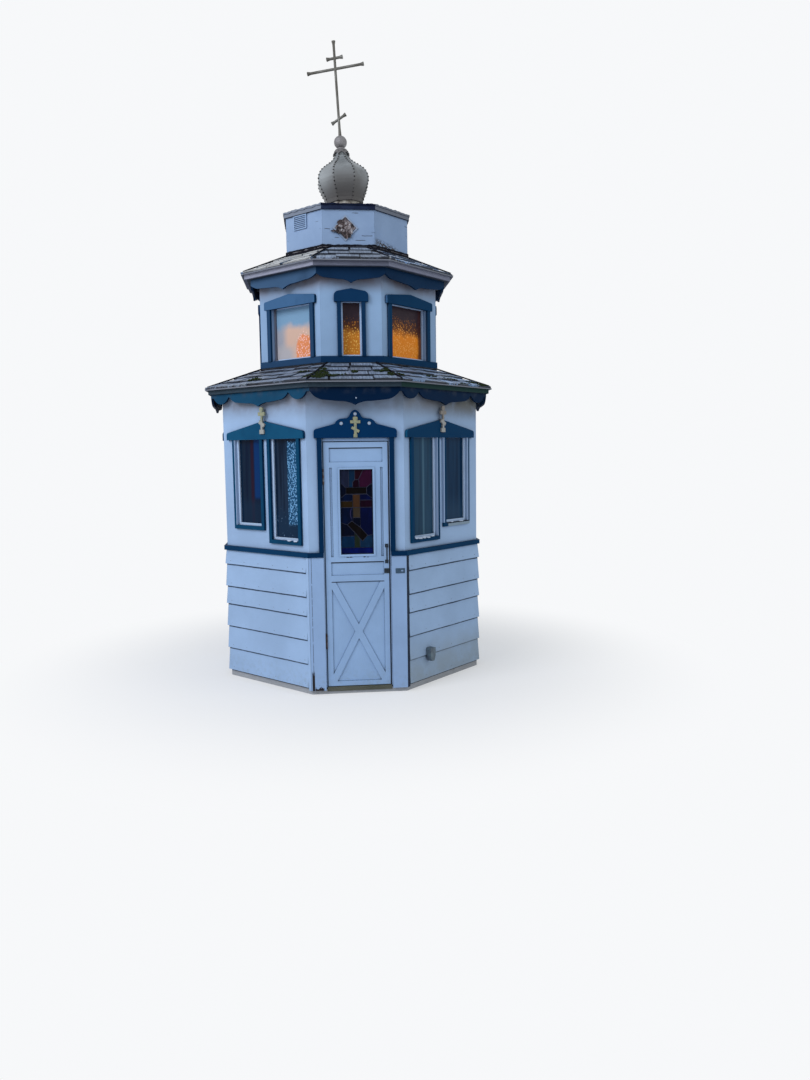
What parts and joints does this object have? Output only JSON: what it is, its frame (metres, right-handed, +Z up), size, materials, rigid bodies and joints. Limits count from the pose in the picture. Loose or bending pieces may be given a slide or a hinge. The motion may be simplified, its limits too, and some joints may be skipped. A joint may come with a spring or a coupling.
{
  "type": "wayside orthodox chapel",
  "caption": "Small wooden orthodox chapel: stepped tiers with a hinged door, stained windows, shingled eaves, drum, onion dome and three-bar cross.",
  "frame": {"origin": "centre of the plan at the lowest ground contact", "axes": "+Z up, the door faces -Y, +X to the viewer's right"},
  "size_m": [2.154, 2.154, 4.773],
  "materials": {
    "wall_paint": "old white paint",
    "siding_paint": "old white paint, peeling",
    "blue_paint": "old blue paint",
    "sash_paint": "old white paint",
    "door_paint": "old white paint",
    "dark_glass": "dark window glass",
    "amber_glass": "amber textured glass",
    "stained_glass": "leaded stained glass",
    "rusty_steel": "rusty",
    "gilt": "worn gilt",
    "bare_wood": "worn wood",
    "timber": "weathered timber",
    "fascia_wood": "grey weathered wood",
    "shingles": "weathered shingles",
    "drum_trim": "weathered paint",
    "cap_metal": "weathered",
    "dome_metal": "weathered galvanised sheet",
    "dome_base_paint": "pale",
    "cross_metal": "worn grey gold",
    "grey_plastic": "grey"
  },
  "bodies": {
    "building": {"front_wall_left": "wall_paint", "front_wall_right": "wall_paint", "front_wall_head": "wall_paint", "narrow_walls": "wall_paint", "wide_walls": "wall_paint", "upper_walls": "wall_paint", "drum_walls": "wall_paint", "lap_siding": "siding_paint", "corner_strips": "siding_paint", "post_boards": "siding_paint", "blue_rails": "blue_paint", "door_casings": "blue_paint", "pediment": "blue_paint", "window_casings": "blue_paint", "window_hoods": "blue_paint", "valances": "blue_paint", "window_sashes": "sash_paint", "door_frame": "sash_paint", "lower_glass": "dark_glass", "upper_glass": "amber_glass", "jamb_hardware": "rusty_steel", "gilded_crosses": "gilt", "door_sill": "bare_wood", "base_frame": "timber", "floor": "timber", "ceiling_rings": "timber", "lower_fascia": "fascia_wood", "upper_fascia": "fascia_wood", "lower_roof": "shingles", "upper_roof": "shingles", "drum_ornament": "drum_trim", "drum_vent": "drum_trim", "cap": "cap_metal", "dome": "dome_metal", "dome_collar": "dome_metal", "dome_ball": "dome_metal", "dome_base": "dome_base_paint", "cross": "cross_metal", "outlet_box": "grey_plastic"},
    "door": {"door_leaf": "door_paint", "door_glass": "stained_glass", "door_braces": "door_paint", "door_hardware": "rusty_steel", "door_hinge_leaves": "rusty_steel"}
  },
  "joints": [
    {"name": "door_hinge", "type": "hinge", "parent": "building", "child": "door", "pos_m": [-0.2245, -0.957, 0], "axis": [0, 0, 1], "range_deg": [-100, 0]}
  ]
}
